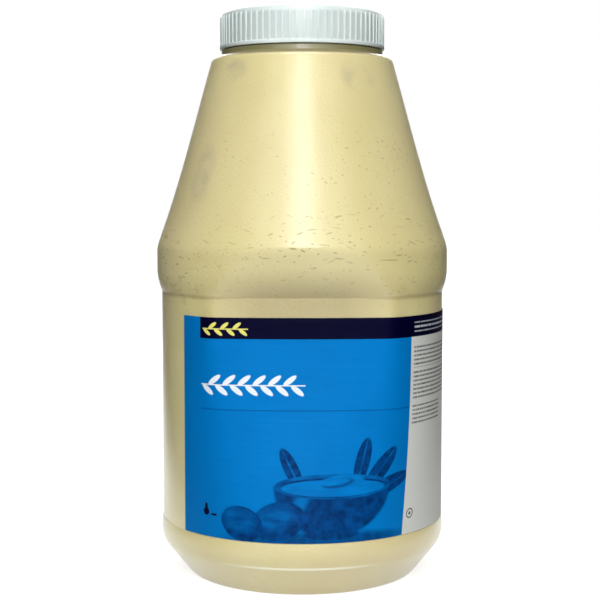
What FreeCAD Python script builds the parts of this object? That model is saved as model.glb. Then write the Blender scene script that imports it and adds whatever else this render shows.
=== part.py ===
"""Four litre wide-mouth jar of mayonnaise: moulded jar, contents, screw cap and wrap label.

Millimetres, +Z up.  The origin is the centre of the ring that the jar stands on, and the
middle of the label faces -Y.  Each piece is written to parts/NAME.step.
"""
import FreeCAD, Part
import math
import os

Vector = FreeCAD.Vector

# ---- jar: widths ---------------------------------------------------------------------
PANEL_HALF_WIDTH = 75.8       # the label panel, across its round sides
BUMPER_PROUD = 2.5            # the upper bumper stands this far out from the panel
LOWER_BUMPER_PROUD = 0.8      # and the lower one this far
HEEL_SETBACK = 1.8            # the heel's ridge lies this far inside the lower bumper
FOOT_SETBACK = 13.5           # the edge of the flat ring lies this far inside the ridge
NECK_RADIUS = 41.5            # outside of the finish that the cap screws on to
NECK_WALL = 2.3               # wall of that finish
COLLAR_PROUD = 1.6            # plain collar between the shoulder and the cap, round the neck
SHOULDER_LAND = 5.8           # from the collar out to the top of the cone

# ---- jar: heights --------------------------------------------------------------------
HEEL_HEIGHT = 17.0            # ridge where the sloping heel meets the lower bumper
LOWER_BUMPER_RISE = 8.6       # from the ridge up to the widest place of the lower bumper
LEDGE_RISE = 4.4              # from there up to the foot of the label panel
PANEL_HEIGHT = 121.7          # from there up to the groove under the upper bumper
GROOVE_RISE = 12.4            # from the groove up to where the bumper is upright
BUMPER_FLAT = 8.3             # the bumper is upright over this height
ROLL_RISE = 5.5               # front and back roll inward from this far above that
CONE_HEIGHT = 100.8           # from the bumper's upright part to the top of the cone
NECK_HEIGHT = 24.7            # from the top of the cone up to the rim of the neck
FILL_RISE = 0.8               # from the top of the cone up to the level of the mayonnaise
NECK_ROOT_DEPTH = 3.5         # the neck is rooted this far below the top of the cone

# ---- jar: heel and foot, all round ---------------------------------------------------
FOOT_RING_WIDTH = 5.2         # width of the flat ring that the jar stands on
PUSH_UP = 4.2                 # how far the middle of the base is raised
PUSH_UP_SLOPE = 8.3           # width of the ramp from the ring up to the raised middle
FOOT_ROUND_HEIGHT = 1.6       # the foot's rounding ends this high
FOOT_ROUND_WIDTH = 2.3        # and this far out from the ring
HEEL_RIDGE = 1.0              # half the height of the ridge's rounding
HEEL_LOW_SLOPE = 0.72         # mm outward for each mm up, below the ridge
HEEL_HIGH_SLOPE = 0.42        # the same above it
LOWER_LEDGE = 0.25            # the lower bumper ends this far proud of the panel

# ---- jar: label panel, round at its foot and sunk at front and back further up -------
FACE_RECESS = 12.6            # at the groove, front and back lie this far inside the round
FRONT_FACE_RADIUS = 376.3     # bow of the front and back faces there
CORNER_RADIUS = 13.6          # rounding there between a face and the round sides
FLATTENING_RATE = 0.75        # the faces flatten faster than they sink

# ---- jar: upper bumper and shoulder --------------------------------------------------
BUMPER_TOP_ROUND = 18.8       # rounding from the bumper into the shoulder cone
ROLL_CURVE = 1.1              # 1 would be a straight roll
CONE_FOOT_SLOPE = 0.37        # mm inward for each mm up, just above the bumper
CONE_TOP_SLOPE = 0.285        # the same at the top of the cone
SHOULDER_ROUND = 4.8          # rounding at the top of the shoulder
SHOULDER_END = 84.0           # degrees up from level at which that rounding ends

# ---- jar: neck -----------------------------------------------------------------------
COLLAR_GAP = 0.6              # between the collar and the foot of the cap
NECK_RIM_ROUND = 0.7

# ---- walls and fits ------------------------------------------------------------------
WALL = 1.2                    # wall of the jar, base and shoulder included
CONTENTS_CLEARANCE = 0.3      # between the mayonnaise and the wall

# ---- cap -----------------------------------------------------------------------------
CAP_HEIGHT = 19.6
CAP_SEAT_CLEARANCE = 0.3      # between the rim of the neck and the inside of the cap
CAP_TOP_THICKNESS = 1.7
CAP_WALL = 1.3                # skirt between the ribs
CAP_THREAD_CLEARANCE = 0.5    # between the skirt's bore and the neck
CAP_EDGE_ROUND = 3.3          # rounding of the cap's top edge
CAP_LAND = 5.6                # from that rounding in to the shallow sunk disc
CAP_DISC_DEPTH = 0.5
CAP_RIM_HEIGHT = 2.0          # smooth band at the foot of the skirt
CAP_RIM_PROUD = 0.75          # that band stands this far out from the skirt
RIB_COUNT = 75
RIB_PROUD = 0.65
RIB_WIDTH = 1.1               # width at the root
RIB_CREST = 0.55              # width at the crest
RIB_TOP_DROP = 2.6            # the ribs end this far below the top of the cap
RIB_HEAD_FALL = 2.2           # height of the rounding at the head of a rib

# ---- label ---------------------------------------------------------------------------
LABEL_FOOT_MARGIN = 0.3       # from the foot of the panel up to the label
LABEL_TOP_MARGIN = 9.8        # from the label up to the groove
LABEL_THICKNESS = 0.25
LABEL_GLUE = 0.15             # between the label and the panel
LABEL_SIDE_MARGIN = 15.5      # its front end lies this far in from the panel's left side
LABEL_END_ANGLE = 160.0       # the other end, in degrees round from +X by way of the back

# ---- how the rings of the body are drawn ---------------------------------------------
FOOT_BULGE = 0.25             # how far each rounding of the heel stands out from its chord
RIDGE_BULGE = 0.1
BUMPER_BULGE = 0.4
LEDGE_BULGE = 0.08
BLOCK_ROOT = 2.5              # one block of the body reaches this far into the next
CORNER_AZIMUTH = 52.0         # the corners lie about here, in degrees from +X or -X
SIDE_STEPS = 11               # points of a ring from the side to a corner
FACE_STEPS = 10               # and from there to the middle of a face
RING_GRADING = 1.5            # the points of a ring crowd towards the corners
PANEL_STEPS = 10              # rings up the label panel
PANEL_GRADING = 1.5           # which crowd towards its foot
GROOVE_STEPS = 5              # rings from the groove up to the bumper
BUMPER_STEPS = 6              # over the bumper
CONE_STEPS = 14               # up the cone
SHOULDER_STEPS = 5            # and over the shoulder's rounding
NEARLY_ROUND = 0.0005         # share of the recess in a section that is meant to be round

# ---- worked-out places ---------------------------------------------------------------
BUMPER_HALF_WIDTH = PANEL_HALF_WIDTH + BUMPER_PROUD
LOWER_BUMPER_RADIUS = PANEL_HALF_WIDTH + LOWER_BUMPER_PROUD
HEEL_RADIUS = LOWER_BUMPER_RADIUS - HEEL_SETBACK
FOOT_RADIUS = HEEL_RADIUS - FOOT_SETBACK
LOWER_BUMPER_HEIGHT = HEEL_HEIGHT + LOWER_BUMPER_RISE
LOWER_BUMPER_TOP = LOWER_BUMPER_HEIGHT + LEDGE_RISE
PANEL_TOP = LOWER_BUMPER_TOP + PANEL_HEIGHT
BUMPER_LOW = PANEL_TOP + GROOVE_RISE
BUMPER_HIGH = BUMPER_LOW + BUMPER_FLAT
ROLL_TOP = BUMPER_HIGH + ROLL_RISE
CONE_TOP_HEIGHT = BUMPER_HIGH + CONE_HEIGHT
FILL_HEIGHT = CONE_TOP_HEIGHT + FILL_RISE
NECK_ROOT = CONE_TOP_HEIGHT - NECK_ROOT_DEPTH
NECK_RIM_HEIGHT = CONE_TOP_HEIGHT + NECK_HEIGHT
NECK_BORE_RADIUS = NECK_RADIUS - NECK_WALL
COLLAR_RADIUS = NECK_RADIUS + COLLAR_PROUD
CONE_TOP_RADIUS = COLLAR_RADIUS + SHOULDER_LAND
CONE_FOOT_ANGLE = math.atan(CONE_FOOT_SLOPE)
CONE_FOOT_HEIGHT = BUMPER_HIGH + BUMPER_TOP_ROUND * math.sin(CONE_FOOT_ANGLE)
CONE_FOOT_RADIUS = BUMPER_HALF_WIDTH - BUMPER_TOP_ROUND * (1 - math.cos(CONE_FOOT_ANGLE))
BUMPER_LOW_ROUND = (GROOVE_RISE ** 2 + BUMPER_PROUD ** 2) / (2 * BUMPER_PROUD)
CONE_TOP_ANGLE = math.atan(CONE_TOP_SLOPE)
SHOULDER_CENTRE_HEIGHT = CONE_TOP_HEIGHT - SHOULDER_ROUND * math.sin(CONE_TOP_ANGLE)
SHOULDER_CENTRE_RADIUS = CONE_TOP_RADIUS - SHOULDER_ROUND * math.cos(CONE_TOP_ANGLE)
SHOULDER_END_ANGLE = math.radians(SHOULDER_END)
CAP_TOP_HEIGHT = NECK_RIM_HEIGHT + CAP_SEAT_CLEARANCE + CAP_TOP_THICKNESS
CAP_FOOT_HEIGHT = CAP_TOP_HEIGHT - CAP_HEIGHT
CAP_BORE_RADIUS = NECK_RADIUS + CAP_THREAD_CLEARANCE
SKIRT_RADIUS = CAP_BORE_RADIUS + CAP_WALL
CAP_DISC_RADIUS = SKIRT_RADIUS - CAP_EDGE_ROUND - CAP_LAND
LABEL_BOTTOM = LOWER_BUMPER_TOP + LABEL_FOOT_MARGIN
LABEL_TOP = PANEL_TOP - LABEL_TOP_MARGIN
LABEL_START_X = LABEL_SIDE_MARGIN - PANEL_HALF_WIDTH


# ---- outlines --------------------------------------------------------------------------
def point(radius, height):
    """A point of a profile that is turned about the Z axis."""
    return Vector(radius, 0, height)


def line(start, end):
    return Part.LineSegment(start, end).toShape()


def arc(start, middle, end):
    return Part.Arc(start, middle, end).toShape()


def turned(edges):
    """Solid of revolution of a closed profile in the XZ plane."""
    face = Part.Face(Part.Wire(edges))
    return face.revolve(Vector(0, 0, 0), Vector(0, 0, 1), 360)


def bowed(start, end, bulge):
    """Arc from start to end whose middle stands bulge to the right of the straight line."""
    along = (end - start).normalize()
    middle = (start + end) * 0.5 + Vector(along.z, 0, -along.x) * bulge
    return arc(start, middle, end)


def spread(low, high, steps):
    """Evenly spaced values from low to high, both included."""
    return [low + (high - low) * step / steps for step in range(steps + 1)]


def ring_azimuths():
    """Azimuths of the points of a ring, in degrees from 0 to 360."""
    corner = CORNER_AZIMUTH
    quarter = [corner - corner * (1 - part) ** RING_GRADING for part in spread(0, 1, SIDE_STEPS)]
    quarter += [corner + (90 - corner) * part ** RING_GRADING
                for part in spread(0, 1, FACE_STEPS)[1:]]
    half = quarter + [180 - azimuth for azimuth in reversed(quarter[:-1])]
    return half + [180 + azimuth for azimuth in half[1:]]


AZIMUTHS = ring_azimuths()


def corner_place(front_centre, front_reach, side_reach):
    """Centre of the corner arc at +X +Y, from the centre of the front arc below it."""
    distance = -front_centre
    along = (front_reach ** 2 - side_reach ** 2 + distance ** 2) / (2 * distance)
    across = math.sqrt(front_reach ** 2 - along ** 2)
    return across, front_centre + along


def ray_length(azimuth, centre_x, centre_y, radius):
    """From the axis to a circle around it, in the direction of an azimuth in radians."""
    along = centre_x * math.cos(azimuth) + centre_y * math.sin(azimuth)
    return along + math.sqrt(along ** 2 - centre_x ** 2 - centre_y ** 2 + radius ** 2)


def body_ring(height, half_width, sunk, inset):
    """Ring of points round the body: two faces, two round sides and four tangent corners.

    sunk is the share of the full recess at front and back: 0 is a circle, and 1 is the
    outline at the groove.
    """
    share = max(sunk, NEARLY_ROUND)
    blend = share ** FLATTENING_RATE
    bow = 1 / half_width
    front_radius = 1 / (bow + (1 / FRONT_FACE_RADIUS - bow) * blend) - inset
    corner_radius = half_width + (CORNER_RADIUS - half_width) * blend - inset
    reach = half_width - inset
    front_centre = reach - FACE_RECESS * share - front_radius
    corner_x, corner_y = corner_place(front_centre, front_radius - corner_radius,
                                      reach - corner_radius)
    side_end = math.atan2(corner_y, corner_x)
    stretch = front_radius / (front_radius - corner_radius)
    front_end = math.atan2(front_centre + (corner_y - front_centre) * stretch,
                           corner_x * stretch)
    points = []
    for azimuth in AZIMUTHS:
        turn = math.radians(azimuth)
        folded = math.atan2(abs(math.sin(turn)), abs(math.cos(turn)))
        if folded <= side_end:
            radius = reach
        elif folded <= front_end:
            radius = ray_length(folded, corner_x, corner_y, corner_radius)
        else:
            radius = ray_length(folded, 0, front_centre, front_radius)
        points.append(Vector(radius * math.cos(turn), radius * math.sin(turn), height))
    points[-1] = points[0]
    return points


def through(points, places):
    """Smooth curve through points, each at its given parameter."""
    curve = Part.BSplineCurve()
    curve.interpolate(Points=points, Parameters=places)
    return curve


def skinned(rings):
    """Solid with one smooth surface through stacked rings of points, and flat ends."""
    climb = [0]
    for low, high in zip(rings, rings[1:]):
        climb.append(climb[-1] + (high[0] - low[0]).Length)
    level = [through(ring, AZIMUTHS) for ring in rings]
    rows = [curve.getPoles() for curve in level]
    upright = [through(list(column), climb) for column in zip(*rows)]
    surface = Part.BSplineSurface()
    surface.buildFromPolesMultsKnots(
        [curve.getPoles() for curve in upright],
        level[0].getMultiplicities(), upright[0].getMultiplicities(),
        level[0].getKnots(), upright[0].getKnots(), False, False, 3, 3)
    side = surface.toShape()
    ends = [Part.Face(Part.Wire([edge for edge in side.Edges
                                 if all(abs(corner.Z - ring[0].z) < 0.001
                                        for corner in edge.Vertexes)]))
            for ring in (rings[0], rings[-1])]
    shell = Part.makeShell([side] + ends)
    shell.sewShape()
    solid = Part.makeSolid(shell)
    if solid.Volume < 0:
        solid.reverse()
    return solid


# ---- body of the jar, its cavity and its contents ------------------------------------------
def panel_sunk(height):
    """Share of the recess on the label panel."""
    rise = (height - LOWER_BUMPER_TOP) / PANEL_HEIGHT
    return math.sin(math.pi / 2 * min(max(rise, 0), 1))


def upper_sunk(height):
    """Share of the recess on the upper bumper, none above its roll."""
    fall = (ROLL_TOP - height) / (ROLL_TOP - PANEL_TOP)
    return max(fall, 0) ** ROLL_CURVE


def upper_half_width(height):
    """Half-width of the bumper and the shoulder cone."""
    if height < BUMPER_LOW:
        below = BUMPER_LOW - height
        rounding = math.sqrt(BUMPER_LOW_ROUND ** 2 - below ** 2)
        return BUMPER_HALF_WIDTH - BUMPER_LOW_ROUND + rounding
    if height <= BUMPER_HIGH:
        return BUMPER_HALF_WIDTH
    if height <= CONE_FOOT_HEIGHT:
        above = height - BUMPER_HIGH
        rounding = math.sqrt(BUMPER_TOP_ROUND ** 2 - above ** 2)
        return BUMPER_HALF_WIDTH - BUMPER_TOP_ROUND + rounding
    span = CONE_TOP_HEIGHT - CONE_FOOT_HEIGHT
    rise = (height - CONE_FOOT_HEIGHT) / span
    rest = 1 - rise
    return (CONE_FOOT_RADIUS * (1 + 2 * rise) * rest ** 2
            - CONE_FOOT_SLOPE * span * rise * rest ** 2
            + CONE_TOP_RADIUS * (3 - 2 * rise) * rise ** 2
            + CONE_TOP_SLOPE * span * rest * rise ** 2)


def panel_block(inset):
    """The label panel, from inside the lower bumper up into the upper one."""
    heights = [LOWER_BUMPER_TOP - BLOCK_ROOT, LOWER_BUMPER_TOP]
    heights += [LOWER_BUMPER_TOP + PANEL_HEIGHT * step ** PANEL_GRADING
                for step in spread(0, 1, PANEL_STEPS)[1:]]
    heights.append(PANEL_TOP + BLOCK_ROOT)
    return skinned([body_ring(height, PANEL_HALF_WIDTH, panel_sunk(height), inset)
                    for height in heights])


def upper_block(inset):
    """The upper bumper, the shoulder cone and the shoulder's rounded top."""
    heights = spread(PANEL_TOP - BLOCK_ROOT, BUMPER_LOW, GROOVE_STEPS)
    heights += spread(BUMPER_LOW, ROLL_TOP, BUMPER_STEPS)[1:]
    heights += [ROLL_TOP + (CONE_TOP_HEIGHT - ROLL_TOP) * (1 - math.cos(angle)) / 2
                for angle in spread(0, math.pi, CONE_STEPS)[1:]]
    rings = [body_ring(height, upper_half_width(height), upper_sunk(height), inset)
             for height in heights]
    rounding = SHOULDER_ROUND - inset
    for angle in spread(CONE_TOP_ANGLE, SHOULDER_END_ANGLE, SHOULDER_STEPS)[1:]:
        rings.append(body_ring(
            SHOULDER_CENTRE_HEIGHT + rounding * math.sin(angle),
            SHOULDER_CENTRE_RADIUS + rounding * math.cos(angle) + inset, 0, inset))
    return skinned(rings)


def heel_block(inset):
    """The base, the sloping heel and the lower bumper, turned."""
    raised = point(FOOT_RADIUS - FOOT_RING_WIDTH - PUSH_UP_SLOPE - inset, PUSH_UP + inset)
    ring_inner = point(FOOT_RADIUS - FOOT_RING_WIDTH - inset, inset)
    ring_outer = point(FOOT_RADIUS - inset, inset)
    foot_top = point(FOOT_RADIUS + FOOT_ROUND_WIDTH - inset, FOOT_ROUND_HEIGHT + inset)
    ridge_low = point(HEEL_RADIUS - HEEL_RIDGE * HEEL_LOW_SLOPE - inset, HEEL_HEIGHT - HEEL_RIDGE)
    ridge_high = point(HEEL_RADIUS + HEEL_RIDGE * HEEL_HIGH_SLOPE - inset, HEEL_HEIGHT + HEEL_RIDGE)
    widest = point(LOWER_BUMPER_RADIUS - inset, LOWER_BUMPER_HEIGHT)
    top_edge = point(PANEL_HALF_WIDTH + LOWER_LEDGE - inset, LOWER_BUMPER_TOP)
    middle_top = point(0, LOWER_BUMPER_TOP)
    middle_base = point(0, PUSH_UP + inset)
    return turned([
        line(middle_base, raised),
        line(raised, ring_inner),
        line(ring_inner, ring_outer),
        bowed(ring_outer, foot_top, FOOT_BULGE),
        line(foot_top, ridge_low),
        bowed(ridge_low, ridge_high, RIDGE_BULGE),
        bowed(ridge_high, widest, BUMPER_BULGE),
        bowed(widest, top_edge, LEDGE_BULGE),
        line(top_edge, middle_top),
        line(middle_top, middle_base),
    ])


def body(inset):
    """The jar's shape without its neck, drawn inset by so much all over."""
    return heel_block(inset).fuse([panel_block(inset), upper_block(inset)])


def jar():
    """The moulded jar: one wall all over, open at the neck."""
    collar_top = CAP_FOOT_HEIGHT - COLLAR_GAP
    neck = Part.makeCylinder(COLLAR_RADIUS, collar_top - NECK_ROOT, Vector(0, 0, NECK_ROOT))
    finish = Part.makeCylinder(NECK_RADIUS, NECK_RIM_HEIGHT - NECK_ROOT, Vector(0, 0, NECK_ROOT))
    rim = [edge for edge in finish.Edges if edge.BoundBox.ZMin > NECK_RIM_HEIGHT - 0.01]
    finish = finish.makeFillet(NECK_RIM_ROUND, rim)
    bore = Part.makeCylinder(NECK_BORE_RADIUS, NECK_RIM_HEIGHT + 1 - NECK_ROOT,
                             Vector(0, 0, NECK_ROOT))
    outside = body(0).fuse([neck, finish])
    return outside.cut([body(WALL), bore])


def mayonnaise():
    """The contents, up to their level and clear of the wall."""
    filled = body(WALL + CONTENTS_CLEARANCE)
    above = Part.makeBox(4 * COLLAR_RADIUS, 4 * COLLAR_RADIUS, NECK_RIM_HEIGHT,
                         Vector(-2 * COLLAR_RADIUS, -2 * COLLAR_RADIUS, FILL_HEIGHT))
    return filled.cut(above)


# ---- cap ---------------------------------------------------------------------------------
def cap_core():
    """The cap without its ribs: top, skirt and smooth rim, turned."""
    rim_radius = SKIRT_RADIUS + CAP_RIM_PROUD
    soft = CAP_RIM_PROUD / 2
    rim_top = CAP_FOOT_HEIGHT + CAP_RIM_HEIGHT
    shoulder = CAP_TOP_HEIGHT - CAP_EDGE_ROUND
    edge_middle = point(SKIRT_RADIUS - CAP_EDGE_ROUND * (1 - math.sqrt(0.5)),
                        CAP_TOP_HEIGHT - CAP_EDGE_ROUND * (1 - math.sqrt(0.5)))
    ceiling = CAP_TOP_HEIGHT - CAP_TOP_THICKNESS
    disc_floor = CAP_TOP_HEIGHT - CAP_DISC_DEPTH
    spots = [
        point(0, ceiling),
        point(CAP_BORE_RADIUS, ceiling),
        point(CAP_BORE_RADIUS, CAP_FOOT_HEIGHT),
        point(rim_radius - soft, CAP_FOOT_HEIGHT),
        point(rim_radius, CAP_FOOT_HEIGHT + soft),
        point(rim_radius, rim_top - soft),
        point(rim_radius - soft, rim_top),
        point(SKIRT_RADIUS, rim_top),
        point(SKIRT_RADIUS, shoulder),
    ]
    edges = [line(start, end) for start, end in zip(spots, spots[1:])]
    edge_end = point(SKIRT_RADIUS - CAP_EDGE_ROUND, CAP_TOP_HEIGHT)
    edges.append(arc(spots[-1], edge_middle, edge_end))
    top_spots = [
        edge_end,
        point(CAP_DISC_RADIUS + CAP_DISC_DEPTH, CAP_TOP_HEIGHT),
        point(CAP_DISC_RADIUS, disc_floor),
        point(0, disc_floor),
        spots[0],
    ]
    edges += [line(start, end) for start, end in zip(top_spots, top_spots[1:])]
    return turned(edges)


def cap_rib():
    """One upright rib at +X, tapered in plan, its head rounded off into the skirt."""
    root = SKIRT_RADIUS - CAP_WALL / 2
    crest = SKIRT_RADIUS + RIB_PROUD
    foot = CAP_FOOT_HEIGHT + CAP_RIM_HEIGHT / 2
    head = CAP_TOP_HEIGHT - RIB_TOP_DROP
    corners = [
        Vector(root, -RIB_WIDTH / 2, foot),
        Vector(SKIRT_RADIUS, -RIB_WIDTH / 2, foot),
        Vector(crest, -RIB_CREST / 2, foot),
        Vector(crest, RIB_CREST / 2, foot),
        Vector(SKIRT_RADIUS, RIB_WIDTH / 2, foot),
        Vector(root, RIB_WIDTH / 2, foot),
    ]
    plan = Part.Face(Part.makePolygon(corners + corners[:1]))
    upright = plan.extrude(Vector(0, 0, head - foot))
    fall = RIB_HEAD_FALL
    envelope = turned([
        line(point(0, foot), point(crest, foot)),
        line(point(crest, foot), point(crest, head - fall)),
        bowed(point(crest, head - fall), point(root, head), RIB_PROUD / 3),
        line(point(root, head), point(0, head)),
        line(point(0, head), point(0, foot)),
    ])
    return upright.common(envelope)


def cap():
    """The screw cap with its ring of ribs."""
    rib = cap_rib()
    ribs = []
    for number in range(RIB_COUNT):
        turned_rib = rib.copy()
        turned_rib.rotate(Vector(0, 0, 0), Vector(0, 0, 1), 360 * (number + 0.5) / RIB_COUNT)
        ribs.append(turned_rib)
    return cap_core().fuse(ribs)


# ---- label -------------------------------------------------------------------------------
def label():
    """The wrap label: a thin skin over the panel, open in a bare stripe on the left."""
    outside = panel_block(-LABEL_GLUE - LABEL_THICKNESS)
    skin = outside.cut(panel_block(-LABEL_GLUE))
    far = 2 * BUMPER_HALF_WIDTH
    slab = Part.makeBox(2 * far, 2 * far, LABEL_TOP - LABEL_BOTTOM,
                        Vector(-far, -far, LABEL_BOTTOM))
    end = math.radians(LABEL_END_ANGLE)
    bare = Part.Face(Part.makePolygon([
        Vector(0, 0, 0),
        Vector(far * math.cos(end), far * math.sin(end), 0),
        Vector(-far, -far, 0),
        Vector(LABEL_START_X, -far, 0),
        Vector(LABEL_START_X, 0, 0),
        Vector(0, 0, 0),
    ])).extrude(Vector(0, 0, NECK_RIM_HEIGHT))
    return skin.common(slab).cut(bare)


# ---- output ------------------------------------------------------------------------------
PIECES = {"jar": jar, "mayonnaise": mayonnaise, "cap": cap, "label": label}
os.makedirs("parts", exist_ok=True)
for name, make in PIECES.items():
    shape = make()
    shape.exportStep("parts/" + name + ".step")
    box = shape.BoundBox
    print(name, "solids", len(shape.Solids), "valid", shape.isValid(),
          "volume %.1f cm3" % (shape.Volume / 1000),
          "box %.2f..%.2f %.2f..%.2f %.2f..%.2f" % (
              box.XMin, box.XMax, box.YMin, box.YMax, box.ZMin, box.ZMax))
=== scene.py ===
"""Dresses the four litre mayonnaise jar: moulded body, ribbed cap, printed wrap label."""

import logging
import math
from dataclasses import dataclass
from enum import Enum
from typing import Sequence, Union

import bpy
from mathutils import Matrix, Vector


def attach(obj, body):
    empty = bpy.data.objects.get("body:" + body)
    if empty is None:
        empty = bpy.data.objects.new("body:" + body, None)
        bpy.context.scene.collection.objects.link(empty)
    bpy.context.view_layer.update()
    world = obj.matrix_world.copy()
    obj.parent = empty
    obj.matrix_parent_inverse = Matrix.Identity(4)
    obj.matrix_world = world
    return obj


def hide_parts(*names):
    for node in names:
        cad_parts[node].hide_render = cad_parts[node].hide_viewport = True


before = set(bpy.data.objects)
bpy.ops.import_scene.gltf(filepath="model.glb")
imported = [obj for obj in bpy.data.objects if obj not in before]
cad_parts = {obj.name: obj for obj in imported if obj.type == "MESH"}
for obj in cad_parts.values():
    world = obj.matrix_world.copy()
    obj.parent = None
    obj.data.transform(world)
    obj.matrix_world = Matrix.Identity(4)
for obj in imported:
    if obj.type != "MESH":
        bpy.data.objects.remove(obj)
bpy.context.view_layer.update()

log = logging.getLogger("jar")
MM = 0.001
BODY = "root"


def paint(red: int, green: int, blue: int) -> tuple[float, float, float, float]:
    """Linear colour with alpha from screen values of 0 to 255.

    Args:
        red: Red on the screen.
        green: Green on the screen.
        blue: Blue on the screen.

    Returns:
        Linear red, green, blue and an alpha of 1.
    """
    linear = []
    for level in (red, green, blue):
        share = level / 255
        linear.append(share / 12.92 if share <= 0.04045 else ((share + 0.055) / 1.055) ** 2.4)
    return linear[0], linear[1], linear[2], 1.0


# ---- shader wiring ---------------------------------------------------------------------------
class Operation(Enum):
    """Math node operations that the finishes use."""

    ADD = "ADD"
    SUBTRACT = "SUBTRACT"
    MULTIPLY = "MULTIPLY"
    DIVIDE = "DIVIDE"
    MAXIMUM = "MAXIMUM"
    SQRT = "SQRT"
    SINE = "SINE"
    COSINE = "COSINE"
    BEARING = "ARCTAN2"
    FRACTION = "FRACT"
    FLOOR = "FLOOR"


class Wire:
    """A value socket that Python's arithmetic adds Math nodes to."""

    def __init__(self, board: "Board", socket: bpy.types.NodeSocket) -> None:
        """Wraps one output socket of a board."""
        self.board = board
        self.socket = socket

    def __add__(self, other: "Value") -> "Wire":
        """This plus other."""
        return self.board.math(Operation.ADD, self, other)

    def __sub__(self, other: "Value") -> "Wire":
        """This minus other."""
        return self.board.math(Operation.SUBTRACT, self, other)

    def __mul__(self, other: "Value") -> "Wire":
        """This times other."""
        return self.board.math(Operation.MULTIPLY, self, other)

    def __truediv__(self, other: "Value") -> "Wire":
        """This over other."""
        return self.board.math(Operation.DIVIDE, self, other)

    def __rsub__(self, other: float) -> "Wire":
        """A number minus this."""
        return self.board.math(Operation.SUBTRACT, other, self)

    def __or__(self, other: "Wire") -> "Wire":
        """The larger of the two."""
        return self.board.math(Operation.MAXIMUM, self, other)

    __radd__ = __add__
    __rmul__ = __mul__


Value = Union[Wire, float]


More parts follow.
